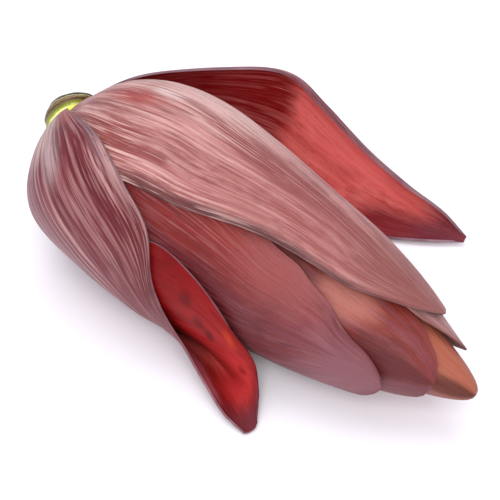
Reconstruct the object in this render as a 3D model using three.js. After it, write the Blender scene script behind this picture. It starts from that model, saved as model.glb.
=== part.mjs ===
// A banana blossom, picked and laid on its side. Millimetres, +Z up, resting on Z = 0.
// The bud points along +X with its cut stalk at -X. Four bracts still wrap the closed heart,
// and two outer bracts have come loose, one on each side, and stand open like boats.
import * as THREE from 'three';

// The closed bud: a line from its neck, where the bracts grow from the stalk, to its tip.
const NECK = new THREE.Vector3(-110.64, -22.1, 58.6);
const BUD_TILT = THREE.MathUtils.degToRad(6.5);
// Half of the heart's outline: distance from the neck along the bud, and radius there.
const HEART_OUTLINE = [
  [1, 14.6], [1.2, 16], [7, 22.6], [18, 34.4], [36, 43.2], [60, 46.8], [90, 44.8], [130, 39],
  [165, 33.5], [190, 27], [208, 20.4], [224, 14.1], [236, 9.6], [244, 5.6], [247.4, 2.4], [248, 0.4],
];

// Bracts lie over the heart like onion layers, one pitch apart.
const LAYER_PITCH = 1.7;
const LAYER_GAP = 0.4;
const BRACT_THICKNESS = 1.0;
const LOOSE_THICKNESS = 1.2;
const RIB_HEIGHT = 0.3;

const RED = {
  mauve: 0x8a4a52, dusty: 0xb98084, crimson: 0x9a2a30, brown: 0x9c5548, pale: 0xc0989a, coral: 0xb9664f,
};
const STALK_GREEN = 0x7c8a2c;

const radians = THREE.MathUtils.degToRad;
const smooth = THREE.MathUtils.smoothstep;

// A point of the bud from its distance along the axis, its radius and its angle:
// 0 degrees is towards -Y, 90 is up, 180 towards +Y and 270 down.
function budPoint(along, radius, angle) {
  const height = radius * Math.sin(angle);
  return new THREE.Vector3(
    NECK.x + along * Math.cos(BUD_TILT) + height * Math.sin(BUD_TILT),
    NECK.y - radius * Math.cos(angle),
    NECK.z - along * Math.sin(BUD_TILT) + height * Math.cos(BUD_TILT),
  );
}

const outline = new THREE.SplineCurve(HEART_OUTLINE.map(([x, y]) => new THREE.Vector2(x, y)));
const OUTLINE_LENGTH = outline.getLength();

// A point that lies `offset` outside the heart, `reach` mm along its outline from the neck.
function overHeart(reach, angle, offset) {
  const t = THREE.MathUtils.clamp(reach / OUTLINE_LENGTH, 0, 1);
  const point = outline.getPointAt(t);
  const tangent = outline.getTangentAt(t);
  return budPoint(point.x - tangent.y * offset, point.y + tangent.x * offset, angle);
}

// A closed sheet with `middle(u, v)` as its middle surface, the same triangles on both faces.
// u runs from the base to the tip and v from one margin to the other, outer face to the left.
function sheet(middle, rows, columns, thickness) {
  const step = 1e-3;
  const positions = [];
  for (const side of [0.5, -0.5]) {
    for (let i = 0; i <= rows; i += 1) {
      for (let j = 0; j <= columns; j += 1) {
        const u = THREE.MathUtils.clamp(i / rows, step, 1 - step);
        const v = THREE.MathUtils.clamp((2 * j) / columns - 1, step - 1, 1 - step);
        const alongU = middle(u + step, v).sub(middle(u - step, v));
        const alongV = middle(u, v + step).sub(middle(u, v - step));
        const normal = alongU.cross(alongV).normalize();
        const ridge = j % 2 === 0 ? RIB_HEIGHT / 2 : -RIB_HEIGHT / 2;
        const point = middle(i / rows, (2 * j) / columns - 1);
        point.addScaledVector(normal, side * thickness + ridge);
        const floor = side > 0 ? 0 : 0.8 * thickness;
        positions.push(point.x, point.y, Math.max(point.z, floor));
      }
    }
  }
  const index = [];
  const width = columns + 1;
  const layer = (rows + 1) * width;
  const quad = (a, b, c, d) => index.push(a, b, c, a, c, d);
  for (let i = 0; i < rows; i += 1) {
    for (let j = 0; j < columns; j += 1) {
      const a = i * width + j;
      quad(a, a + width, a + width + 1, a + 1);
      index.push(layer + a, layer + a + width + 1, layer + a + width);
      index.push(layer + a, layer + a + 1, layer + a + width + 1);
    }
  }
  for (let i = 0; i < rows; i += 1) {
    const a = i * width;
    const b = a + columns;
    quad(a, layer + a, layer + a + width, a + width);
    quad(b, b + width, layer + b + width, layer + b);
  }
  for (let j = 0; j < columns; j += 1) {
    const b = rows * width + j;
    quad(j, j + 1, layer + j + 1, layer + j);
    quad(b, layer + b, layer + b + 1, b + 1);
  }
  const geometry = new THREE.BufferGeometry();
  geometry.setAttribute('position', new THREE.Float32BufferAttribute(positions, 3));
  geometry.setIndex(index);
  geometry.computeVertexNormals();
  return geometry;
}

// A bract that wraps the bud. `widths` lists reach along the bud and half width in degrees.
function wrappedBract({ layer, angle, widths, lift, rows, columns }) {
  const reachEnd = widths[widths.length - 1][0];
  const widthCurve = new THREE.SplineCurve(widths.map(([x, y]) => new THREE.Vector2(x, y)));
  const samples = widthCurve.getPoints(240);
  const halfWidth = (reach) => {
    const k = samples.findIndex((p) => p.x >= reach);
    if (k < 1) return radians(k === 0 ? samples[0].y : samples[samples.length - 1].y);
    const a = samples[k - 1];
    const b = samples[k];
    return radians(THREE.MathUtils.mapLinear(reach, a.x, b.x, a.y, b.y));
  };
  const middle = (u, v) => {
    const reach = reachEnd * u;
    const offset = LAYER_GAP + layer * LAYER_PITCH + lift(u, v);
    return overHeart(reach, radians(angle(u)) - v * halfWidth(reach), offset);
  };
  return sheet(middle, rows, columns, BRACT_THICKNESS);
}

// A loose bract, hollow like a boat: lofted through its two margins and its keel, each a row of
// [along, radius, degrees] about the bud. `curl` is the angle that each side of the boat turns
// through, from the keel to the margin.
function looseBract({ first, keel, second, curl, rows, columns }) {
  const curve = (points) => new THREE.CatmullRomCurve3(points.map((p) => new THREE.Vector3(...p)));
  const [firstMargin, keelLine, secondMargin] = [first, keel, second].map(curve);
  const middle = (u, v) => {
    const a = firstMargin.getPoint(u);
    const b = secondMargin.getPoint(u);
    const k = keelLine.getPoint(u);
    const opening = a.clone().add(b).multiplyScalar(0.5).sub(k);
    const across = b.clone().sub(a).multiplyScalar(0.5);
    const turn = radians(curl(u));
    const rise = (1 - Math.cos(turn * v)) / (1 - Math.cos(turn));
    const sideways = Math.sin(turn * v) / Math.sin(turn);
    k.addScaledVector(opening, rise).addScaledVector(across, sideways);
    return budPoint(k.x, k.y, radians(k.z));
  };
  return sheet(middle, rows, columns, LOOSE_THICKNESS);
}

function heart() {
  const rings = 26;
  const points = outline.getSpacedPoints(rings);
  points[rings].set(points[rings].x, 0);
  const profile = [new THREE.Vector2(0, points[0].x), ...points.map((p) => new THREE.Vector2(p.y, p.x))];
  const geometry = new THREE.LatheGeometry(profile, 26);
  const position = geometry.getAttribute('position');
  for (let i = 0; i < position.count; i += 1) {
    const [x, along, z] = [position.getX(i), position.getY(i), position.getZ(i)];
    const p = budPoint(along, Math.hypot(x, z), Math.atan2(z, x));
    position.setXYZ(i, p.x, p.y, p.z);
  }
  geometry.computeVertexNormals();
  return geometry;
}

// The cut stalk: a short stub ringed by the scars of fallen bracts, leaning over towards +Y.
const STALK_STATIONS = [
  [-0.5, 0.01], [-0.5, 12.4], [-6, 12.4], [-8.5, 12.6], [-10, 13.6], [-11.5, 13.5],
  [-13, 14.5], [-14.5, 14.4], [-16, 15.3], [-18, 15.1], [-19.5, 14.3], [-19.5, 0.01],
];
const STALK_BEND = new THREE.Vector3(-0.72, 0.69, 0.22).normalize();

function stalk() {
  const sides = 24;
  const axis = budPoint(1, 0, 0).sub(budPoint(0, 0, 0)).negate();
  const straight = 4;
  const rings = STALK_STATIONS.map(([along, radius]) => {
    const depth = -along;
    const turn = smooth(depth, straight + 2, 20);
    const direction = axis.clone().lerp(STALK_BEND, turn).normalize();
    const centre = budPoint(0, 0, 0).addScaledVector(axis, Math.min(depth, straight));
    centre.addScaledVector(direction, Math.max(depth - straight, 0));
    const side = new THREE.Vector3(0, 1, 0).cross(direction).normalize();
    const up = direction.clone().cross(side);
    return Array.from({ length: sides }, (_, k) => {
      const turnAngle = (2 * Math.PI * k) / sides;
      return centre.clone().addScaledVector(side, radius * Math.cos(turnAngle))
        .addScaledVector(up, radius * Math.sin(turnAngle));
    });
  });
  return loft(rings);
}

// Joins rings of points into one closed body, with a fan at each end.
function loft(rings) {
  const sides = rings[0].length;
  const inner = rings.slice(1, -1);
  const middleOf = (ring) => ring.reduce((sum, p) => sum.add(p), new THREE.Vector3()).divideScalar(sides);
  const points = [...inner.flat(), middleOf(rings[0]), middleOf(rings[rings.length - 1])];
  const index = [];
  const last = (inner.length - 1) * sides;
  for (let i = 0; i < inner.length - 1; i += 1) {
    for (let k = 0; k < sides; k += 1) {
      const a = i * sides + k;
      const b = i * sides + ((k + 1) % sides);
      index.push(a, b, b + sides, a, b + sides, a + sides);
    }
  }
  for (let k = 0; k < sides; k += 1) {
    const next = (k + 1) % sides;
    index.push(points.length - 2, next, k);
    index.push(points.length - 1, last + k, last + next);
  }
  const geometry = new THREE.BufferGeometry();
  geometry.setAttribute('position', new THREE.Float32BufferAttribute(points.flatMap((p) => p.toArray()), 3));
  geometry.setIndex(index);
  geometry.computeVertexNormals();
  return geometry;
}

const blossom = new THREE.Group();
function add(name, geometry, color, roughness) {
  const mesh = new THREE.Mesh(geometry, new THREE.MeshStandardMaterial({ color, roughness, metalness: 0 }));
  mesh.name = name;
  blossom.add(mesh);
}

add('stalk', stalk(), STALK_GREEN, 0.6);
add('heart', heart(), RED.coral, 0.5);

add('tip_bract_front', wrappedBract({
  layer: 1, rows: 18, columns: 16,
  angle: () => 25,
  widths: [[0, 90], [57.5, 92], [137.5, 80], [197.5, 70], [225.5, 67], [230.5, 60], [236, 53],
    [241.5, 40], [244.5, 20], [245.5, 3]],
  lift: (u) => 0.6 * smooth(u, 0.85, 1),
}), RED.brown, 0.5);

add('tip_bract_back', wrappedBract({
  layer: 2, rows: 18, columns: 16,
  angle: (u) => 135 + 15 * smooth(u, 0.6, 1),
  widths: [[0, 86], [57.5, 78], [137.5, 62], [197.5, 56], [220, 54], [226, 50], [231, 44], [236.5, 35],
    [241, 24], [244, 12], [245.5, 3]],
  lift: () => 0,
}), RED.pale, 0.55);

add('front_bract', wrappedBract({
  layer: 3, rows: 20, columns: 26,
  angle: (u) => -45 + 44 * smooth(u, 0.65, 1),
  widths: [[0, 120], [57.5, 120], [117.5, 115], [157.5, 103], [174.5, 85.5], [186.5, 70], [195.5, 54],
    [203.5, 42.5], [210, 35], [216.5, 24], [221, 12], [223, 2.5]],
  lift: (u) => 1.0 * smooth(u, 0.8, 1),
}), RED.mauve, 0.5);

add('top_bract', wrappedBract({
  layer: 4, rows: 20, columns: 26,
  angle: (u) => 140 - 15 * smooth(u, 0.6, 1),
  widths: [[0, 101], [47.5, 99], [76.5, 93], [100.5, 90], [128.5, 82], [155.5, 74.5], [183.5, 65.5],
    [196.5, 57], [207.5, 46], [217, 33.5], [224, 17], [227, 3]],
  lift: (u, v) => 2.5 * smooth(v, 0.4, 1) * smooth(u, 0.05, 0.3) * (1 - smooth(u, 0.6, 0.95)),
}), RED.dusty, 0.6);

add('loose_bract_front', looseBract({
  first: [[-8.5, 16.8, -60], [6, 46, -68], [34, 53, -50], [60, 55, -10], [85, 54, 26], [112, 50.5, 21],
    [133, 47.5, 4], [148, 46, -25], [156, 55, -33], [166, 69.5, -32.5]],
  keel: [[-9.5, 17.2, 10], [-5, 34.5, -10], [8, 50, -32], [44, 56.5, -50], [80, 58.5, -57],
    [112, 56.5, -52], [137, 58.5, -42], [152, 63.5, -36], [162, 70, -33], [167.5, 74, -31.5]],
  second: [[-8.4, 16, 74], [6, 38.5, 63], [34, 54.5, 58], [60, 58, 46], [84, 57, 31], [96, 56, 2],
    [113, 59.5, -22], [135, 69, -27], [153, 76, -28.6], [165.5, 77.5, -29.5]],
  curl: (u) => 92 + 30 * smooth(u, 0.25, 0.42) - 68 * smooth(u, 0.5, 0.85),
  rows: 26,
  columns: 20,
}), RED.crimson, 0.5);

add('loose_bract_back', looseBract({
  first: [[-6.4, 21.5, 140], [7, 45.5, 153], [36, 71, 158], [62, 94.5, 167], [81, 97.5, 175],
    [110, 100.5, 184], [137, 106, 190], [160, 111.5, 193.3], [177, 113.6, 197]],
  keel: [[-7, 23, 164], [7, 50, 182], [33, 78, 188], [60, 101, 194], [82, 106, 198], [110, 109.5, 200.5],
    [137, 112, 200.5], [160, 114, 199.3], [177, 113.6, 197.6]],
  second: [[-7, 21, 205], [12, 51, 222], [40, 66, 222], [64, 75, 217.5], [85, 80, 214], [110, 86, 210],
    [136, 91.5, 206.5], [158, 101, 202], [177, 113, 198.4]],
  curl: (u) => 62 + 30 * smooth(u, 0.2, 0.5),
  rows: 22,
  columns: 16,
}), RED.crimson, 0.5);

export default blossom;
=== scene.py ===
import math

import bpy
import numpy as np
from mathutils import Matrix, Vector


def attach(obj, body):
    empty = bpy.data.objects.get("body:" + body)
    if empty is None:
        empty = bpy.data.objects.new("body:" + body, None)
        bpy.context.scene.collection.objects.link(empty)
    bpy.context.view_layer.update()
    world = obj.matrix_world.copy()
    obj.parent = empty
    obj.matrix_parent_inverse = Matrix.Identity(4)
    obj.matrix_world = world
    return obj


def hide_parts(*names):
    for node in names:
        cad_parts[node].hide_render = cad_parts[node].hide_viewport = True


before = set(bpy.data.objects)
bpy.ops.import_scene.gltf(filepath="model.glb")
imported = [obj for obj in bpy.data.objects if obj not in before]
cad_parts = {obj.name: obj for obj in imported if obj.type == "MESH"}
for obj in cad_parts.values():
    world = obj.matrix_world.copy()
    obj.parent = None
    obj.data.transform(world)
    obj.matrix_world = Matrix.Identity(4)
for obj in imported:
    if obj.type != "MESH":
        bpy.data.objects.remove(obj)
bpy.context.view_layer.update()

# Camera. A long lens looks down on the near side of the bud, over the loose front bract, with
# the stalk at the top left and the tip at the bottom right.
CAMERA_TARGET = Vector((-0.00214, -0.0194, 0.0396))
CAMERA_TURN, CAMERA_RISE = math.radians(38.3), math.radians(45)
CAMERA_DISTANCE = 0.85
LENS_MM, SENSOR_MM = 121.7, 36

bpy.ops.object.select_all(action="DESELECT")
away = Vector((
    math.sin(CAMERA_TURN) * math.cos(CAMERA_RISE),
    -math.cos(CAMERA_TURN) * math.cos(CAMERA_RISE),
    math.sin(CAMERA_RISE),
))
bpy.ops.object.camera_add(
    location=CAMERA_TARGET + CAMERA_DISTANCE * away, rotation=away.to_track_quat("Z", "Y").to_euler())
camera = bpy.context.object
camera.data.lens, camera.data.sensor_width = LENS_MM, SENSOR_MM
bpy.context.scene.camera = camera


# Heart. The innermost bracts are still folded tight over each other and make one closed body.
# Only its coral tip shows. It grows from the neck, where all the bracts leave the stalk.
NECK = (-110.64, -22.1, 58.6)
BUD_TILT = math.radians(6.5)
# Pairs of the place along the bud from the neck and the radius there, in mm.
HEART_OUTLINE = [
    (1, 14.6), (1.2, 16), (7, 22.6), (18, 34.4), (36, 43.2), (60, 46.8), (90, 44.8), (130, 39),
    (165, 33.5), (190, 27), (208, 20.4), (224, 14.1), (236, 9.6), (244, 5.6), (247.4, 2.4), (248, 0.4),
]
OUTLINE_SAMPLES = 201
BASE_ALONG, BASE_RADIUS = HEART_OUTLINE[0]
HEART_END = 247.8
SKIN_INSET = 0.25
HEART_SKIN_SIZE = (270, 250)
HEART_COLOURS = ("84402C", "5A2818", "9A5844", "B47A68")
HEART_PATCHES = [
    # Painted highlight: the upper side of the heart's tip, where the light falls, is made lighter.
    (250, 188, 22, 30, "A65C44", 0.7, 0.5),
    # Painted shade: the lower side of the heart's tip is made darker.
    (262, 140, 18, 22, "521E12", 0.9, 0.4),
    (240, 108, 16, 16, "7E4C4E", 0.7, 0.5),
]


def bud_point(along, radius, angle):
    """A place on the bud in metres: 0 degrees is the near side, 90 is up."""
    rise = radius * np.sin(angle)
    place = np.stack([
        NECK[0] + along * math.cos(BUD_TILT) + rise * math.sin(BUD_TILT),
        NECK[1] - radius * np.cos(angle),
        NECK[2] - along * math.sin(BUD_TILT) + rise * math.cos(BUD_TILT),
    ], axis=-1)
    return place / 1000


def smooth(x, low, high):
    """Rises softly from 0 at low to 1 at high."""
    t = np.clip((x - low) / (high - low), 0, 1)
    return t * t * (3 - 2 * t)


def curve_through(points, t):
    """A smooth curve through points, read at t from 0 to 1."""
    points = np.array(points, dtype=float)
    last = len(points) - 1
    place = np.clip(t, 0, 1) * last
    i = np.minimum(np.floor(place).astype(int), last - 1)
    w = (place - i)[..., None]
    a, b = points[np.maximum(i - 1, 0)], points[i]
    c, d = points[i + 1], points[np.minimum(i + 2, last)]
    v0, v1 = (c - a) / 2, (d - b) / 2
    return (2 * b - 2 * c + v0 + v1) * w**3 + (3 * c - 3 * b - 2 * v0 - v1) * w**2 + v0 * w + b


outline_steps = curve_through(HEART_OUTLINE, np.linspace(0, 1, OUTLINE_SAMPLES))
outline_reach = np.concatenate([[0], np.cumsum(np.linalg.norm(np.diff(outline_steps, axis=0), axis=1))])


def over_heart(reach, angle, offset):
    """A place that lies `offset` mm outside the heart, `reach` mm along its outline."""
    nudge = 1e-4
    t = np.interp(reach, outline_reach, np.linspace(0, 1, OUTLINE_SAMPLES))
    at = curve_through(HEART_OUTLINE, t)
    slope = curve_through(HEART_OUTLINE, t + nudge) - curve_through(HEART_OUTLINE, t - nudge)
    slope /= np.linalg.norm(slope, axis=-1, keepdims=True)
    return bud_point(at[..., 0] - slope[..., 1] * offset, at[..., 1] + slope[..., 0] * offset, angle)


def patchy(u, v, along, across, seed):
    """Smooth random values from 0 to 1 over a sheet, with so many cells each way."""
    heights = np.random.default_rng(seed).random((along + 2, across + 2))
    x, y = np.clip(u, 0, 1) * along, np.clip((v + 1) / 2, 0, 1) * across
    i, j = x.astype(int), y.astype(int)
    fx, fy = smooth(x - i, 0, 1), smooth(y - j, 0, 1)
    low = heights[i, j] * (1 - fx) + heights[i + 1, j] * fx
    high = heights[i, j + 1] * (1 - fx) + heights[i + 1, j + 1] * fx
    return low * (1 - fy) + high * fy


def linear(hex_colour):
    """An sRGB hex colour as the linear RGBA that a shader takes."""
    values = [int(hex_colour[i:i + 2], 16) / 255 for i in (0, 2, 4)]
    return tuple(c / 12.92 if c <= 0.04045 else ((c + 0.055) / 1.055) ** 2.4 for c in values) + (1,)


def add_node(tree, kind, inputs=(), **settings):
    """Adds a node with its settings; an input takes a value or another node's output."""
    made = tree.nodes.new(kind)
    for name, value in settings.items():
        setattr(made, name, value)
    for name, value in dict(inputs).items():
        if isinstance(value, bpy.types.NodeSocket):
            tree.links.new(value, made.inputs[name])
        else:
            made.inputs[name].default_value = value
    return made


def new_material(name):
    """A node material, as itself, its tree and its shader."""
    material = bpy.data.materials.new(name)
    material.use_nodes = True
    return material, material.node_tree, material.node_tree.nodes["Principled BSDF"]


# The patterns on a bract's skin: how long and wide its marks are in mm, how finely they break
# up, and where in the noise they are read. The fibres' own width is given for each bract.
SKIN_PATTERNS = {
    "hairlines": (22, 0.8, 2, 7.7),
    "dusting": (38, 7, 5, 1.3),
    "stains": (26, 13, 4, 9.2),
    "clouds": (30, 17, 5, 4.4),
    "speckle": (4, 2.2, 3, 5.9),
}
RAGGED_EDGE, RAGGED_START = (22, 5, 3), 11.0
FIBRE_RUN, FIBRE_RELIEF = 55, 0.00025
LINES_FADE = (55, 165)
LEAF_IOR = 1.42
WAX_BLOOM = "E8D2D2"


def bract_skin(name, colours, size_mm, wax=0.5, lines=0.6, patches=(), roughness=0.5, bloom=0.06, shine=0.35,
               line_mm=1.9):
    """Satin leaf skin with fibres that run from the base to the tip, drawn a little coarser than
    real ones so that they show. Its colours are the bare skin, the grooves between the fibres,
    the waxed skin and the fibres' pale crests. Wax dusts it in long ragged patches, and the
    fibres fade towards the tip. A patch of another colour lies on the sheet as
    (u mm, v mm, half length, half width, colour, strength, softness)."""
    bare, groove, waxed, pale = (linear(colour) for colour in colours)
    material, tree, shader = new_material(name)
    sheet_uv = add_node(tree, "ShaderNodeUVMap", uv_map="UVMap").outputs[0]
    in_mm = add_node(tree, "ShaderNodeMapping", {"Vector": sheet_uv, "Scale": (*size_mm, 1)}).outputs[0]

    sizes = dict(SKIN_PATTERNS, fibres=(FIBRE_RUN, line_mm, 3, 3.1))
    for i in range(len(patches)):
        sizes[f"ragged edge {i}"] = (*RAGGED_EDGE, RAGGED_START + i)
    marks = {}
    for mark, (along_mm, across_mm, detail, offset) in sizes.items():
        stretched = add_node(tree, "ShaderNodeMapping", {
            "Vector": in_mm, "Scale": (1 / along_mm, 1 / across_mm, 1), "Location": (offset, offset, 0)})
        marks[mark] = add_node(tree, "ShaderNodeTexNoise", {
            "Vector": stretched.outputs[0], "Scale": 1.0, "Detail": detail, "Roughness": 0.6},
            noise_dimensions="2D").outputs[0]

    crest = add_node(tree, "ShaderNodeAttribute", attribute_name="crest").outputs["Fac"]
    on_crest = add_node(tree, "ShaderNodeMapRange", {
        "Value": crest, "From Min": 0.2, "From Max": 0.7, "To Min": 0.45, "To Max": 1.0},
        interpolation_type="SMOOTHSTEP").outputs[0]
    along = add_node(tree, "ShaderNodeSeparateXYZ", {0: in_mm}).outputs["X"]
    drawn = add_node(tree, "ShaderNodeMapRange", {
        "Value": along, "From Min": LINES_FADE[0], "From Max": LINES_FADE[1], "To Min": lines,
        "To Max": 0.3 * lines}, interpolation_type="SMOOTHSTEP").outputs[0]
    raised = add_node(tree, "ShaderNodeMath", {0: on_crest, 1: drawn}, operation="MULTIPLY").outputs[0]

    # Each layer of colour goes over the last: its colour, the pattern that spreads it, two values
    # of the pattern, how much of it shows at each, and the share that the whole layer has.
    bare_line = 0.62 - 0.24 * wax
    layers = [
        (waxed, marks["dusting"], (bare_line - 0.1, bare_line + 0.1), (0, 1), 1.0),
        (groove, marks["stains"], (0.5, 0.72), (0, 1), 0.6),
        (pale, marks["clouds"], (0.5, 0.72), (0, 1), 0.55 * wax),
    ]
    for i, (at_u, at_v, half_length, half_width, tint, strength, softness) in enumerate(patches):
        centred = add_node(tree, "ShaderNodeMapping", {
            "Vector": in_mm, "Location": (-at_u / half_length, -at_v / half_width, 0),
            "Scale": (1 / half_length, 1 / half_width, 0)})
        far = add_node(tree, "ShaderNodeVectorMath", {0: centred.outputs[0]}, operation="LENGTH")
        ragged = add_node(tree, "ShaderNodeMath", {
            0: marks[f"ragged edge {i}"], 1: 1.4 * softness, 2: far.outputs["Value"]},
            operation="MULTIPLY_ADD").outputs[0]
        layers.append((linear(tint), ragged, (1 - 0.3 * softness, 1 + 1.7 * softness), (1, 0), strength))
    layers += [
        (groove, marks["fibres"], (0.48, 0.36), (0, 0.75), drawn),
        (groove, marks["hairlines"], (0.44, 0.3), (0, 0.6), drawn),
        (pale, marks["fibres"], (0.52, 0.64), (0, 1), raised),
        (pale, marks["hairlines"], (0.56, 0.7), (0, 0.5), drawn),
        (groove, marks["speckle"], (0.6, 0.78), (0, 1), 0.3),
    ]
    skin = bare
    for colour, pattern, (low, high), (at_low, at_high), whole in layers:
        spread = add_node(tree, "ShaderNodeMapRange", {
            "Value": pattern, "From Min": low, "From Max": high, "To Min": at_low, "To Max": at_high},
            interpolation_type="SMOOTHSTEP").outputs[0]
        share = add_node(tree, "ShaderNodeMath", {0: spread, 1: whole}, operation="MULTIPLY").outputs[0]
        skin = add_node(tree, "ShaderNodeMix", {0: share, 6: skin, 7: colour}, data_type="RGBA").outputs[2]
    tree.links.new(skin, shader.inputs["Base Color"])

    surface = add_node(tree, "ShaderNodeMath", {0: marks["hairlines"], 1: 0.5, 2: marks["fibres"]},
                       operation="MULTIPLY_ADD").outputs[0]
    bump = add_node(tree, "ShaderNodeBump", {"Height": surface, "Strength": 0.9, "Distance": FIBRE_RELIEF})
    tree.links.new(bump.outputs[0], shader.inputs["Normal"])
    dull = add_node(tree, "ShaderNodeMapRange", {
        "Value": marks["fibres"], "From Min": 0.3, "From Max": 0.7, "To Min": roughness - 0.07,
        "To Max": roughness + 0.1}, interpolation_type="SMOOTHSTEP").outputs[0]
    tree.links.new(dull, shader.inputs["Roughness"])
    for socket, value in {
        "IOR": LEAF_IOR,
        "Specular IOR Level": shine,
        "Sheen Weight": bloom,
        "Sheen Roughness": 0.45,
        "Sheen Tint": linear(WAX_BLOOM),
        "Subsurface Weight": 0.06,
        "Subsurface Radius": (1.0, 0.3, 0.2),
        "Subsurface Scale": 0.002,
    }.items():
        shader.inputs[socket].default_value = value
    return material


def point_places(piece):
    """Where each point of a mesh lies, one row each."""
    places = np.empty(len(piece.data.vertices) * 3, dtype=np.float32)
    piece.data.vertices.foreach_get("co", places)
    return places.reshape(-1, 3).astype(float)


def move_points(piece, places):
    """Moves each point of a mesh to its row of places, in metres."""
    piece.data.vertices.foreach_set("co", np.asarray(places, dtype=np.float32).ravel())


def keep_on_points(piece, name, values):
    """Stores a value for each point, which the material reads by name."""
    layer = piece.data.attributes.new(name, "FLOAT", "POINT")
    layer.data.foreach_set("value", np.asarray(values, dtype=np.float32).ravel())


def turn_faces_outward():
    """Turns the faces of the chosen closed piece to its outside."""
    bpy.ops.object.mode_set(mode="EDIT")
    bpy.ops.mesh.select_all(action="SELECT")
    bpy.ops.mesh.normals_make_consistent(inside=False)
    bpy.ops.object.mode_set(mode="OBJECT")


# A ball is drawn out to the heart. Its first pole spreads to the round base, and its last is
# the tip. The fibres' relief fades out along the seam and at the tip, where its sides meet.
bpy.ops.mesh.primitive_uv_sphere_add(segments=180, ring_count=120, radius=1, location=(0, 0, 0))
heart = bpy.context.object
heart.name = "heart_folded_bracts"
ball = point_places(heart)
part_way = 1 - np.arccos(np.clip(ball[:, 2], -1, 1)) / math.pi
round_way = np.arctan2(ball[:, 1], ball[:, 0])
reach = -BASE_RADIUS + part_way * (outline_reach[-1] + BASE_RADIUS)
heart_crest = patchy(part_way, round_way / math.pi, along=6, across=90, seed=5)
heart_crest = heart_crest * smooth(np.abs(round_way), math.pi, math.pi - 0.1) * smooth(part_way, 1, 0.9)
shell = over_heart(np.maximum(reach, 0), round_way, SKIN_INSET * (heart_crest - 1))
base_disc = bud_point(np.full_like(reach, BASE_ALONG), np.clip(BASE_RADIUS + reach, 0, None), round_way)
heart_places = np.where((reach < 0)[:, None], base_disc, shell)
heart_places[part_way > 0.9999] = bud_point(np.array(HEART_END), np.array(0.0), np.array(0.0))
move_points(heart, heart_places)
keep_on_points(heart, "crest", heart_crest)
# The ball's map is turned, so that its first coordinate runs from the base to the tip.
lattice = np.empty(len(heart.data.loops) * 2, dtype=np.float32)
heart.data.uv_layers["UVMap"].uv.foreach_get("vector", lattice)
heart.data.uv_layers["UVMap"].uv.foreach_set("vector", lattice.reshape(-1, 2)[:, ::-1].ravel())
turn_faces_outward()
bpy.ops.object.shade_smooth()
heart.data.materials.append(bract_skin(
    "heart bract, satin leaf skin", HEART_COLOURS, HEART_SKIN_SIZE, wax=0.3, lines=0.3,
    patches=HEART_PATCHES, roughness=0.45, line_mm=3.0))
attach(heart, "root")
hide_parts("heart")


# Inner bracts at the tip. Two narrower bracts lie straight on the heart, one on the near side
# and one on top, and only their ends show past the outer bracts.
TIP_FRONT_WIDTHS = [
    (0, 90), (57.5, 92), (137.5, 80), (197.5, 70), (225.5, 67), (230.5, 60), (236, 53), (241.5, 40),
    (244.5, 20), (245.5, 3),
]
TIP_BACK_WIDTHS = [
    (0, 86), (57.5, 78), (137.5, 62), (197.5, 56), (220, 54), (226, 50), (231, 44), (236.5, 35), (241, 24),
    (244, 12), (245.5, 3),
]
WIDTH_SAMPLES = 241
# Each layer lies a pitch over the one under it, in mm, so there is air between the bracts.
LAYER_GAP, LAYER_PITCH, BRACT_THICKNESS = 0.4, 1.7, 1.0
# How far a coarse and a fine fibre run before they change, and how long and wide a band of
# stronger fibres is, in mm.
COARSE_RUN, FINE_RUN, STRONG_RUN, STRONG_BAND = 45, 25, 50, 18
# The skins' maps take the bracts' own size in mm. The fibres' relief is spread a little wider.
TIP_FRONT_SKIN_SIZE, TIP_BACK_SKIN_SIZE = (245.5, 110), (245.5, 100)
TIP_FRONT_SHEET, TIP_BACK_SHEET = (248, 110), (248, 100)
TIP_FRONT_COLOURS = ("74261C", "521612", "743034", "925A54")
TIP_FRONT_PATCHES = [
    # Painted highlight, over the bract's own paler upper skin: the upper end of this bract is made lighter.
    (190, 24, 15, 15, "B87262", 0.6, 0.5),
    # Painted shade: the end of this bract is made darker towards the underside of the bud.
    (226, 56, 24, 16, "501A1E", 0.8, 0.5),
    (238, 88, 26, 18, "6A3E44", 0.8, 0.5),
]
TIP_BACK_COLOURS = ("8E5E5A", "6E4240", "A07672", "B89690")


def wrapped(widths, layer, angle, lift):
    """A bract's middle surface: (u, v) from base to tip and margin to margin, to metres. The
    widths are pairs of reach in mm and half width in degrees."""
    steps = curve_through(widths, np.linspace(0, 1, WIDTH_SAMPLES))
    reach_steps = np.maximum.accumulate(steps[:, 0])

    def place(u, v):
        reach = widths[-1][0] * u
        half = np.radians(np.interp(reach, reach_steps, steps[:, 1]))
        offset = LAYER_GAP + layer * LAYER_PITCH + lift(u, v)
        return over_heart(reach, np.radians(angle(u)) - v * half, offset)

    return place


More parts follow.
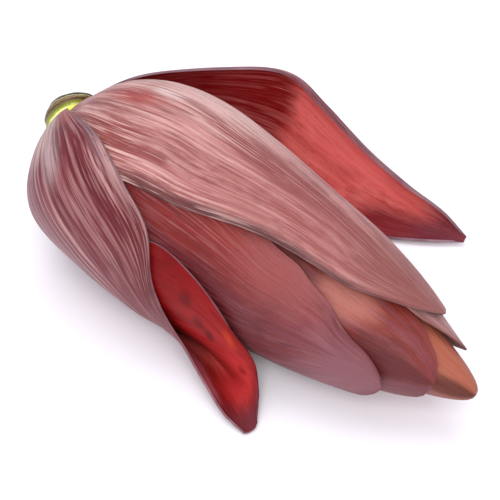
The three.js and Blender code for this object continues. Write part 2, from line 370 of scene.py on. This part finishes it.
def grown_sheet(name, place, rows, columns, thickness, size_mm, ridge_mm, spacing_mm, seed, skins,
                on_table=False):
    """A flat sheet of squares is bent to the bract's shape, raised in fibres and given its
    thickness. Its squares keep their place on the bract as the UV map. Long and short fibres
    are mixed, and stand out more in some bands than in others. A sheet that lies on the table
    is pressed flat where it touches."""
    bpy.ops.object.select_all(action="DESELECT")
    bpy.ops.mesh.primitive_grid_add(x_subdivisions=rows, y_subdivisions=columns, size=2, location=(0, 0, 0))
    piece = bpy.context.object
    piece.name = name
    flat = point_places(piece)
    u, v = np.clip((flat[:, 0] + 1) / 2, 0, 1), np.clip(flat[:, 1], -1, 1)
    step = 1e-3
    inner_u, inner_v = np.clip(u, step, 1 - step), np.clip(v, step - 1, 1 - step)
    outward = np.cross(place(inner_u + step, inner_v) - place(inner_u - step, inner_v),
                       place(inner_u, inner_v + step) - place(inner_u, inner_v - step))
    outward /= np.linalg.norm(outward, axis=1, keepdims=True)
    length, width = size_mm
    coarse = patchy(u, v, round(length / COARSE_RUN), round(width / spacing_mm), seed)
    coarse = 1 - np.abs(2 * coarse - 1)
    fine = patchy(u, v, round(length / FINE_RUN), round(width / (0.55 * spacing_mm)), seed + 1)
    strong = patchy(u, v, round(length / STRONG_RUN), round(width / STRONG_BAND), seed + 2)
    strength = 0.3 + 0.7 * smooth(strong, 0.25, 0.7)
    fade = 1 - 0.6 * smooth(u, 0.55, 0.95)
    crest = (0.65 * coarse + 0.35 * fine) * strength * fade
    points = place(u, v) + outward * ((crest - 0.5) * ridge_mm / 1000)[:, None]
    if on_table:
        points[:, 2] = np.maximum(points[:, 2], thickness / 2000)
    move_points(piece, points)
    keep_on_points(piece, "crest", crest)
    for skin in skins:
        piece.data.materials.append(skin)
    wall = piece.modifiers.new("leaf thickness", "SOLIDIFY")
    wall.thickness, wall.offset = thickness / 1000, 0
    wall.use_rim = True
    wall.material_offset = 1 if len(skins) > 1 else 0
    wall.material_offset_rim = 2 if len(skins) > 2 else 0
    bpy.ops.object.modifier_apply(modifier=wall.name)
    if on_table:
        thick = point_places(piece)
        thick[:, 2] = np.maximum(thick[:, 2], 0)
        move_points(piece, thick)
    bpy.ops.object.shade_smooth_by_angle(angle=math.radians(50))
    return piece


tip_front = grown_sheet(
    "tip_bract_front_leaf",
    wrapped(TIP_FRONT_WIDTHS, layer=1, angle=lambda u: 25, lift=lambda u, v: 0.6 * smooth(u, 0.85, 1)),
    rows=90, columns=200, thickness=BRACT_THICKNESS, size_mm=TIP_FRONT_SHEET, ridge_mm=0.2, spacing_mm=1.9,
    seed=21, skins=[bract_skin(
        "inner bract, brownish red leaf skin", TIP_FRONT_COLOURS, TIP_FRONT_SKIN_SIZE, wax=0.4, lines=0.35,
        patches=TIP_FRONT_PATCHES, roughness=0.48)])
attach(tip_front, "root")
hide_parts("tip_bract_front")

tip_back = grown_sheet(
    "tip_bract_back_leaf",
    wrapped(TIP_BACK_WIDTHS, layer=2, angle=lambda u: 135 + 15 * smooth(u, 0.6, 1), lift=lambda u, v: 0.0),
    rows=90, columns=180, thickness=BRACT_THICKNESS, size_mm=TIP_BACK_SHEET, ridge_mm=0.2, spacing_mm=1.9,
    seed=31, skins=[bract_skin(
        "inner bract, pale pink leaf skin", TIP_BACK_COLOURS, TIP_BACK_SKIN_SIZE, wax=0.6, lines=0.4)])
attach(tip_back, "root")
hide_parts("tip_bract_back")


# Front bract. A broad mauve bract wraps the near side and the underside of the bud, and the
# blossom lies on it, so it is pressed a little flat there.
FRONT_WIDTHS = [
    (0, 120), (57.5, 120), (117.5, 115), (157.5, 103), (174.5, 85.5), (186.5, 70), (195.5, 54), (203.5, 42.5),
    (210, 35), (216.5, 24), (221, 12), (223, 2.5),
]
FRONT_SIZE = (223, 200)
FRONT_COLOURS = ("6C2A2E", "4A151A", "72343E", "A06C6C")
FRONT_PATCHES = [
    (118, 14, 54, 24, "821E12", 0.85, 0.4),
    (160, 12, 24, 26, "8C4A46", 0.65, 0.5),
    # Painted shade: the front bract is made dark where it runs in under the loose front bract's fold.
    (122, 66, 44, 36, "50080C", 0.85, 0.5),
    (214, 92, 28, 80, "825259", 0.85, 0.5),
]

front_bract = grown_sheet(
    "front_bract_leaf",
    wrapped(FRONT_WIDTHS, layer=3, angle=lambda u: -45 + 44 * smooth(u, 0.65, 1),
            lift=lambda u, v: 1.0 * smooth(u, 0.8, 1)),
    rows=100, columns=340, thickness=BRACT_THICKNESS, size_mm=FRONT_SIZE, ridge_mm=0.3, spacing_mm=1.9,
    seed=41, on_table=True, skins=[bract_skin(
        "front bract, mauve leaf skin", FRONT_COLOURS, FRONT_SIZE, wax=0.5, lines=0.55, patches=FRONT_PATCHES,
        roughness=0.48)])
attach(front_bract, "root")
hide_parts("front_bract")


# Top bract. The outermost bract that still wraps the bud covers its top and back. It is dusted
# with pale wax, rubbed off in places, and its near margin stands a little off the front bract.
TOP_WIDTHS = [
    (0, 101), (47.5, 99), (76.5, 93), (100.5, 90), (128.5, 82), (155.5, 74.5), (183.5, 65.5), (196.5, 57),
    (207.5, 46), (217, 33.5), (224, 17), (227, 3),
]
TOP_INSET = 0.35
TOP_SIZE = (227, 170)
TOP_COLOURS = ("8B4D4A", "703634", "A66E69", "CEA69E")
TOP_PATCHES = [
    (50, 92, 60, 38, "C09A90", 0.75, 0.6),
    (124, 122, 76, 12, "7E3A38", 0.8, 0.5),
    (212, 125, 34, 60, "7E453F", 0.8, 0.5),
    (45, 126, 15, 6, "96342E", 0.9, 0.6),
    (56, 114, 8, 4, "E2D2CA", 0.6, 0.8),
    (88, 134, 30, 6, "C48E88", 0.7, 0.6),
    (52, 153, 26, 8, "843A34", 0.75, 0.5),
    (78, 98, 30, 13, "CFAFA6", 0.7, 0.6),
    (128, 146, 32, 24, "8E4A46", 0.4, 0.6),
    # Painted shade: a dark band along the top bract's near margin stands in for the shadow under its lifted
    # edge.
    (128, 177, 125, 12, "381216", 0.9, 0.3),
]


def top_lift(u, v):
    """Millimetres that the top bract stands off its layer: out along its near margin."""
    return 2.5 * smooth(v, 0.4, 1) * smooth(u, 0.05, 0.3) * (1 - smooth(u, 0.6, 0.95)) - TOP_INSET


top_bract = grown_sheet(
    "top_bract_leaf",
    wrapped(TOP_WIDTHS, layer=4, angle=lambda u: 140 - 15 * smooth(u, 0.6, 1), lift=top_lift),
    rows=100, columns=340, thickness=BRACT_THICKNESS, size_mm=TOP_SIZE, ridge_mm=0.3, spacing_mm=1.8,
    seed=51, skins=[bract_skin(
        "top bract, pink leaf skin under a wax bloom", TOP_COLOURS, TOP_SIZE, wax=0.6, lines=0.85,
        patches=TOP_PATCHES, roughness=0.52)])
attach(top_bract, "root")
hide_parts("top_bract")


# Loose bracts. Two outer bracts have come away from the bud and stand open, rolled lengthwise
# like boats: strongly ribbed mauve skin outside, smooth shiny crimson inside, a thin pale rim.
LOOSE_THICKNESS = 1.2
# The two margins and the keel of each, from base to tip: mm along the bud, mm from its middle
# line, and degrees round it from the near side.
FRONT_FIRST = [
    (-8.5, 16.8, -60), (6, 46, -68), (34, 53, -50), (60, 55, -10), (85, 54, 26), (112, 50.5, 21),
    (133, 47.5, 4), (148, 46, -25), (156, 55, -33), (166, 69.5, -32.5),
]
FRONT_KEEL = [
    (-9.5, 17.2, 10), (-5, 34.5, -10), (8, 50, -32), (44, 56.5, -50), (80, 58.5, -57), (112, 56.5, -52),
    (137, 58.5, -42), (152, 63.5, -36), (162, 70, -33), (167.5, 74, -31.5),
]
FRONT_SECOND = [
    (-8.4, 16, 74), (6, 38.5, 63), (34, 54.5, 58), (60, 58, 46), (84, 57, 31), (96, 56, 2), (113, 59.5, -22),
    (135, 69, -27), (153, 76, -28.6), (165.5, 77.5, -29.5),
]
BACK_FIRST = [
    (-6.4, 21.5, 140), (7, 45.5, 153), (36, 71, 158), (62, 94.5, 167), (81, 97.5, 175), (110, 100.5, 184),
    (137, 106, 190), (160, 111.5, 193.3), (177, 113.6, 197),
]
BACK_KEEL = [
    (-7, 23, 164), (7, 50, 182), (33, 78, 188), (60, 101, 194), (82, 106, 198), (110, 109.5, 200.5),
    (137, 112, 200.5), (160, 114, 199.3), (177, 113.6, 197.6),
]
BACK_SECOND = [
    (-7, 21, 205), (12, 51, 222), (40, 66, 222), (64, 75, 217.5), (85, 80, 214), (110, 86, 210),
    (136, 91.5, 206.5), (158, 101, 202), (177, 113, 198.4),
]
LOOSE_FRONT_SIZE, LOOSE_BACK_SIZE = (215, 150), (230, 120)
LOOSE_OUTSIDE_COLOURS = ("66222A", "421016", "7B3A44", "B88F8A")
FRONT_INSIDE_COLOURS = ("640406", "440204", "700C0E", "8C2824")
FRONT_RIM_COLOURS = ("7A4A50", "5A343C", "886066", "A08488")
BACK_INSIDE_COLOURS = ("CC5650", "A43A38", "DC6862", "F0948C")
BACK_RIM_COLOURS = ("7C5660", "5A3A46", "8C7078", "A08A90")
FRONT_OUTSIDE_PATCHES = [
    (25, 112, 14, 16, "C4AAA0", 0.8, 0.5),
    (20, 139, 13, 11, "9C4A48", 0.8, 0.5),
    (85, 96, 55, 12, "8E626A", 0.7, 0.5),
    (88, 142, 40, 14, "541418", 0.8, 0.5),
    (44, 122, 9, 5, "C0B2AE", 0.6, 0.6),
    (52, 149, 26, 4, "8E787A", 0.7, 0.5),
    (74, 132, 38, 18, "7A2430", 0.3, 0.5),
]
FRONT_INSIDE_PATCHES = [
    # Painted light: the floor of the boat is made brighter red to offset the shade that falls in it.
    (152, 64, 32, 50, "BE3434", 0.85, 0.6),
    (150, 140, 28, 12, "A4545E", 0.8, 0.5),
    # Painted light: a brighter patch offsets the shade at the fold of the boat.
    (130, 100, 14, 26, "DC605A", 0.75, 0.6),
    (208, 80, 27, 90, "6A2A32", 0.95, 0.6),
    (126, 16, 22, 24, "8A0608", 0.5, 0.5),
    (117, 15, 3, 4, "4C0204", 0.7, 0.6),
    (124, 24, 3, 3, "540406", 0.7, 0.6),
    (130, 28, 3, 4, "4C0204", 0.7, 0.6),
    (155, 36, 4, 5, "6A080A", 0.6, 0.7),
    (145, 14, 5, 5, "BC3C1C", 0.6, 0.7),
]
BACK_INSIDE_PATCHES = [
    # Painted light: the open middle of the inner face, which faces up to the light, is made brighter.
    (125, 28, 45, 26, "F87C78", 0.8, 0.5),
    # Painted shade over the bract's own deeper crimson: the base end of the inner face, curled over like a
    # hood, is made dark.
    (30, 40, 58, 90, "7A0206", 1.0, 0.12),
    (188, 96, 46, 36, "6C1420", 0.95, 0.4),
    (220, 70, 30, 80, "6A2C38", 0.9, 0.5),
]


def tight_curve(points, t):
    """A curve through points whose knots are spaced by the square root of their distance."""
    points = np.array(points, dtype=float)
    points = np.vstack([2 * points[0] - points[1], points, 2 * points[-1] - points[-2]])
    last = len(points) - 3
    place = np.clip(t, 0, 1) * last
    i = np.minimum(np.floor(place).astype(int), last - 1)
    w = (place - i)[..., None]
    p0, p1, p2, p3 = (points[i + k] for k in range(4))
    spans = ((p0, p1), (p1, p2), (p2, p3))
    d0, d1, d2 = (np.sqrt(np.linalg.norm(b - a, axis=-1, keepdims=True)) for a, b in spans)
    t1 = ((p1 - p0) / d0 - (p2 - p0) / (d0 + d1) + (p2 - p1) / d1) * d1
    t2 = ((p2 - p1) / d1 - (p3 - p1) / (d1 + d2) + (p3 - p2) / d2) * d1
    return (2 * p1 - 2 * p2 + t1 + t2) * w**3 + (3 * p2 - 3 * p1 - 2 * t1 - t2) * w**2 + t1 * w + p1


def rolled(first, keel, second, curl):
    """A loose bract's middle surface, through its two margins and its keel. Each side of it
    turns through `curl` degrees."""
    def place(u, v):
        a, b, k = tight_curve(first, u), tight_curve(second, u), tight_curve(keel, u)
        turned = np.radians(curl(u))
        rise = (1 - np.cos(turned * v)) / (1 - np.cos(turned))
        sideways = np.sin(turned * v) / np.sin(turned)
        k = k + ((a + b) / 2 - k) * rise[..., None] + (b - a) / 2 * sideways[..., None]
        return bud_point(k[..., 0], k[..., 1], np.radians(k[..., 2]))

    return place


loose_front = grown_sheet(
    "loose_bract_front_leaf",
    rolled(FRONT_FIRST, FRONT_KEEL, FRONT_SECOND,
           curl=lambda u: 92 + 30 * smooth(u, 0.25, 0.42) - 68 * smooth(u, 0.5, 0.85)),
    rows=140, columns=240, thickness=LOOSE_THICKNESS, size_mm=LOOSE_FRONT_SIZE, ridge_mm=0.35, spacing_mm=2.0,
    seed=61, on_table=True, skins=[
        bract_skin("loose bract outside, ribbed mauve leaf skin", LOOSE_OUTSIDE_COLOURS, LOOSE_FRONT_SIZE,
                   wax=0.35, lines=0.8, patches=FRONT_OUTSIDE_PATCHES, line_mm=2.3),
        bract_skin("loose bract inside, shiny crimson leaf skin", FRONT_INSIDE_COLOURS, LOOSE_FRONT_SIZE,
                   wax=0.5, lines=0.25, patches=FRONT_INSIDE_PATCHES, roughness=0.4, bloom=0.0, shine=0.18,
                   line_mm=3.0),
        bract_skin("loose bract rim, pale dry edge", FRONT_RIM_COLOURS, LOOSE_FRONT_SIZE, roughness=0.6),
    ])
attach(loose_front, "root")
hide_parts("loose_bract_front")

loose_back = grown_sheet(
    "loose_bract_back_leaf",
    rolled(BACK_FIRST, BACK_KEEL, BACK_SECOND, curl=lambda u: 62 + 30 * smooth(u, 0.2, 0.5)),
    rows=140, columns=200, thickness=LOOSE_THICKNESS, size_mm=LOOSE_BACK_SIZE, ridge_mm=0.35, spacing_mm=2.0,
    seed=71, on_table=True, skins=[
        bract_skin("loose rear bract outside, ribbed mauve leaf skin", LOOSE_OUTSIDE_COLOURS, LOOSE_BACK_SIZE,
                   wax=0.35, lines=0.8, line_mm=2.3),
        bract_skin("loose rear bract inside, shiny red leaf skin", BACK_INSIDE_COLOURS, LOOSE_BACK_SIZE,
                   wax=0.5, lines=0.35, patches=BACK_INSIDE_PATCHES, roughness=0.42, bloom=0.0, shine=0.18,
                   line_mm=3.0),
        bract_skin("loose rear bract rim, pale dry edge", BACK_RIM_COLOURS, LOOSE_BACK_SIZE, roughness=0.6),
    ])
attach(loose_back, "root")
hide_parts("loose_bract_back")


# Stalk. A short stub of the flower stalk, cut through with a knife. Green flesh under the rings
# of dry brown scars where outer bracts have dropped off.
# Pairs of the place along the bud from the neck and the stub's radius there, in mm.
STALK_RINGS = [
    (-0.5, 12.4), (-6, 12.4), (-8.5, 12.6), (-10, 13.6), (-11.5, 13.5), (-13, 14.5), (-14.5, 14.4),
    (-16, 15.3), (-18, 15.1), (-19.5, 14.3),
]
STALK_DEPTH, STALK_STRAIGHT = 19.5, 4
STALK_LEAN = Vector((-0.72, 0.69, 0.22)).normalized()
STALK_BANDS = [
    (0.0, "C4CE3E"), (0.40, "F2FF58"), (0.60, "E6FC50"), (0.65, "F6F8A8"), (0.68, "96A02A"),
    (0.75, "5E6416"), (0.78, "766038"), (0.81, "463620"), (0.85, "8A7450"), (0.88, "54442A"),
    (0.91, "C2B68A"), (0.93, "3C4426"), (1.0, "30361C"),
]
CUT_DRY, CUT_FLESH = "8A6A42", "D8C894"
MOTTLE_PER_METRE, PORES_PER_METRE = 700.0, 650.0
MOTTLE_RELIEF = 0.0004
RING_STEPS, STALK_SIDES = 120, 128


def stalk_skin():
    """Fresh green stalk skin: yellow-green by the bud, olive, then brown scars and a dark rim."""
    material, tree, shader = new_material("stalk, fresh green skin with dry scars")
    depth = add_node(tree, "ShaderNodeAttribute", attribute_name="depth").outputs["Fac"]
    place = add_node(tree, "ShaderNodeTexCoord").outputs["Object"]
    mottle = add_node(tree, "ShaderNodeTexNoise", {"Vector": place, "Scale": MOTTLE_PER_METRE,
                                                     "Detail": 3.0}).outputs[0]
    shifted = add_node(tree, "ShaderNodeMath", {0: mottle, 1: 0.06, 2: depth}, operation="MULTIPLY_ADD")
    bands = add_node(tree, "ShaderNodeValToRGB", {"Fac": shifted.outputs[0]})
    ramp = bands.color_ramp
    for end, (position, colour) in zip(ramp.elements, (STALK_BANDS[0], STALK_BANDS[-1])):
        end.position, end.color = position, linear(colour)
    for position, colour in STALK_BANDS[1:-1]:
        ramp.elements.new(position).color = linear(colour)
    tree.links.new(bands.outputs[0], shader.inputs["Base Color"])
    bump = add_node(tree, "ShaderNodeBump", {"Height": mottle, "Strength": 0.5, "Distance": MOTTLE_RELIEF})
    tree.links.new(bump.outputs[0], shader.inputs["Normal"])
    shader.inputs["Roughness"].default_value = 0.5
    shader.inputs["IOR"].default_value = LEAF_IOR
    return material


def cut_flesh():
    """Cut stalk: pale cream flesh, with the darker ends of its fibres, drawn coarser than real
    ones so that they show."""
    material, tree, shader = new_material("stalk, cut cream flesh")
    place = add_node(tree, "ShaderNodeTexCoord").outputs["Object"]
    pores = add_node(tree, "ShaderNodeTexVoronoi", {"Vector": place, "Scale": PORES_PER_METRE})
    tone = add_node(tree, "ShaderNodeMapRange", {
        "Value": pores.outputs["Distance"], "From Min": 0.1, "From Max": 0.5})
    mix = add_node(tree, "ShaderNodeMix", {
        0: tone.outputs[0], 6: linear(CUT_DRY), 7: linear(CUT_FLESH)}, data_type="RGBA")
    tree.links.new(mix.outputs[2], shader.inputs["Base Color"])
    shader.inputs["Roughness"].default_value = 0.65
    return material


# A ball is drawn out to the stub: straight at first, then bent towards its lean, with the cut
# at its last ring. The scars are uneven, and the skin by the bud is smooth.
bpy.ops.mesh.primitive_uv_sphere_add(
    segments=STALK_SIDES, ring_count=RING_STEPS + 2, radius=1, location=(0, 0, 0))
stalk = bpy.context.object
stalk.name = "stalk_stub"
globe = point_places(stalk)
ring = np.arccos(np.clip(globe[:, 2], -1, 1)) / math.pi * (RING_STEPS + 2) - 1
spin = np.arctan2(globe[:, 1], globe[:, 0])
depth, radius = (curve_through(STALK_RINGS, ring / RING_STEPS) * (-1, 1)).T
axis = -np.array([math.cos(BUD_TILT), 0, -math.sin(BUD_TILT)])
direction = axis + (np.array(STALK_LEAN) - axis) * smooth(depth, STALK_STRAIGHT + 2, 20)[:, None]
direction /= np.linalg.norm(direction, axis=1, keepdims=True)
centre = np.array(NECK) + axis * np.minimum(depth, STALK_STRAIGHT)[:, None]
centre += direction * np.maximum(depth - STALK_STRAIGHT, 0)[:, None]
side = np.cross((0, 1, 0), direction)
side /= np.linalg.norm(side, axis=1, keepdims=True)
up = np.cross(direction, side)
rough = (0.15 * np.sin(5 * spin + depth) + 0.09 * np.sin(11 * spin + 2.1 * depth)) * smooth(depth, 7, 11)
at_pole = (ring < -0.5) | (ring > RING_STEPS + 0.5)
ring_radius = np.where(at_pole, 0, radius - SKIN_INSET + rough)[:, None]
stub = centre + ring_radius * (np.cos(spin)[:, None] * side + np.sin(spin)[:, None] * up)
move_points(stalk, stub / 1000)
keep_on_points(stalk, "depth", depth / STALK_DEPTH)
stalk.data.materials.append(stalk_skin())
stalk.data.materials.append(cut_flesh())
for face in stalk.data.polygons:
    if max(ring[corner] for corner in face.vertices) > RING_STEPS + 0.5:
        face.material_index = 1
turn_faces_outward()
bpy.ops.object.shade_smooth_by_angle(angle=math.radians(45))
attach(stalk, "root")
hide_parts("stalk")


# Studio. A white table runs off on all sides. One broad soft light stands above and behind the
# blossom and a smaller one on the near side, in a pale room.
TABLE_COLOUR, TABLE_WIDTH, TABLE_DROP = "F6F6F8", 8, 0.0002
ROOM_COLOUR, ROOM_STRENGTH = "F2ECFA", 0.8
LIGHTS = [
    ("soft light above", (-0.3, 0.15, 1.4), 1.3, 10),
    ("soft light, near side", (0.57, -0.72, 0.92), 0.8, 10),
]

bpy.ops.mesh.primitive_plane_add(size=TABLE_WIDTH, location=(0, 0, -TABLE_DROP))
table_top = bpy.context.object
table_top.name = "table_top"
white, _, white_shader = new_material("matt white table")
white_shader.inputs["Base Color"].default_value = linear(TABLE_COLOUR)
white_shader.inputs["Roughness"].default_value = 0.9
table_top.data.materials.append(white)

for name, place, size, watts in LIGHTS:
    bpy.ops.object.light_add(type="AREA", location=place)
    lamp = bpy.context.object
    lamp.name = name
    lamp.data.size = size
    lamp.data.energy = watts
    lamp.rotation_euler = Vector(place).to_track_quat("Z", "Y").to_euler()
world = bpy.context.scene.world or bpy.data.worlds.new("studio")
bpy.context.scene.world = world
world.use_nodes = True
world.node_tree.nodes["Background"].inputs[0].default_value = linear(ROOM_COLOUR)
world.node_tree.nodes["Background"].inputs[1].default_value = ROOM_STRENGTH
bpy.context.scene.view_settings.view_transform = "Standard"
